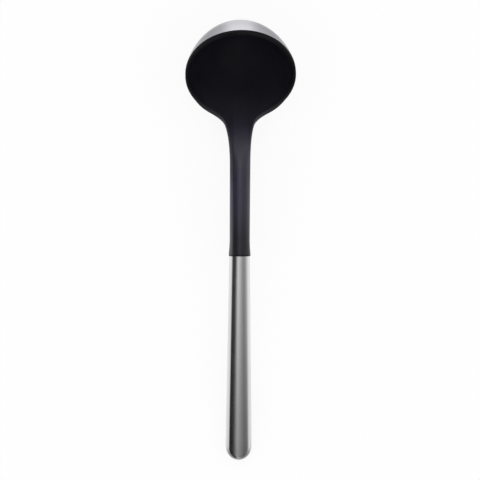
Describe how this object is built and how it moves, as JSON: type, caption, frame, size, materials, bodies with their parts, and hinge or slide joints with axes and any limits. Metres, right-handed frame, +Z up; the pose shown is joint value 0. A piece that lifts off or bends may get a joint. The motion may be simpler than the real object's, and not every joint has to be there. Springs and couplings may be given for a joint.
{
  "type": "soup ladle",
  "caption": "Soup ladle with a round steel-backed black nylon bowl, a gooseneck rising from the rim, and a hollow brushed steel handle with a rounded end.",
  "frame": {"origin": "on the surface that the ladle lies on, under the middle of its bounding box", "axes": "+Z up from that surface, +Y from the handle to the bowl, +X to the right seen from the handle's end with the bowl's mouth upwards"},
  "size_m": [0.0816, 0.3284, 0.0712],
  "materials": {
    "bowl_steel": "fine satin, spun round the bowl's axis",
    "black_nylon": "satin moulded black",
    "handle_steel": "polished, with a fine lengthwise grain",
    "cured_adhesive": "cured resin, hidden inside the handle"
  },
  "bodies": {
    "root": {"bowl_shell": "bowl_steel", "nylon_head": "black_nylon", "handle_tube": "handle_steel", "handle_end_plug": "handle_steel", "tang_bond": "cured_adhesive"}
  },
  "joints": []
}
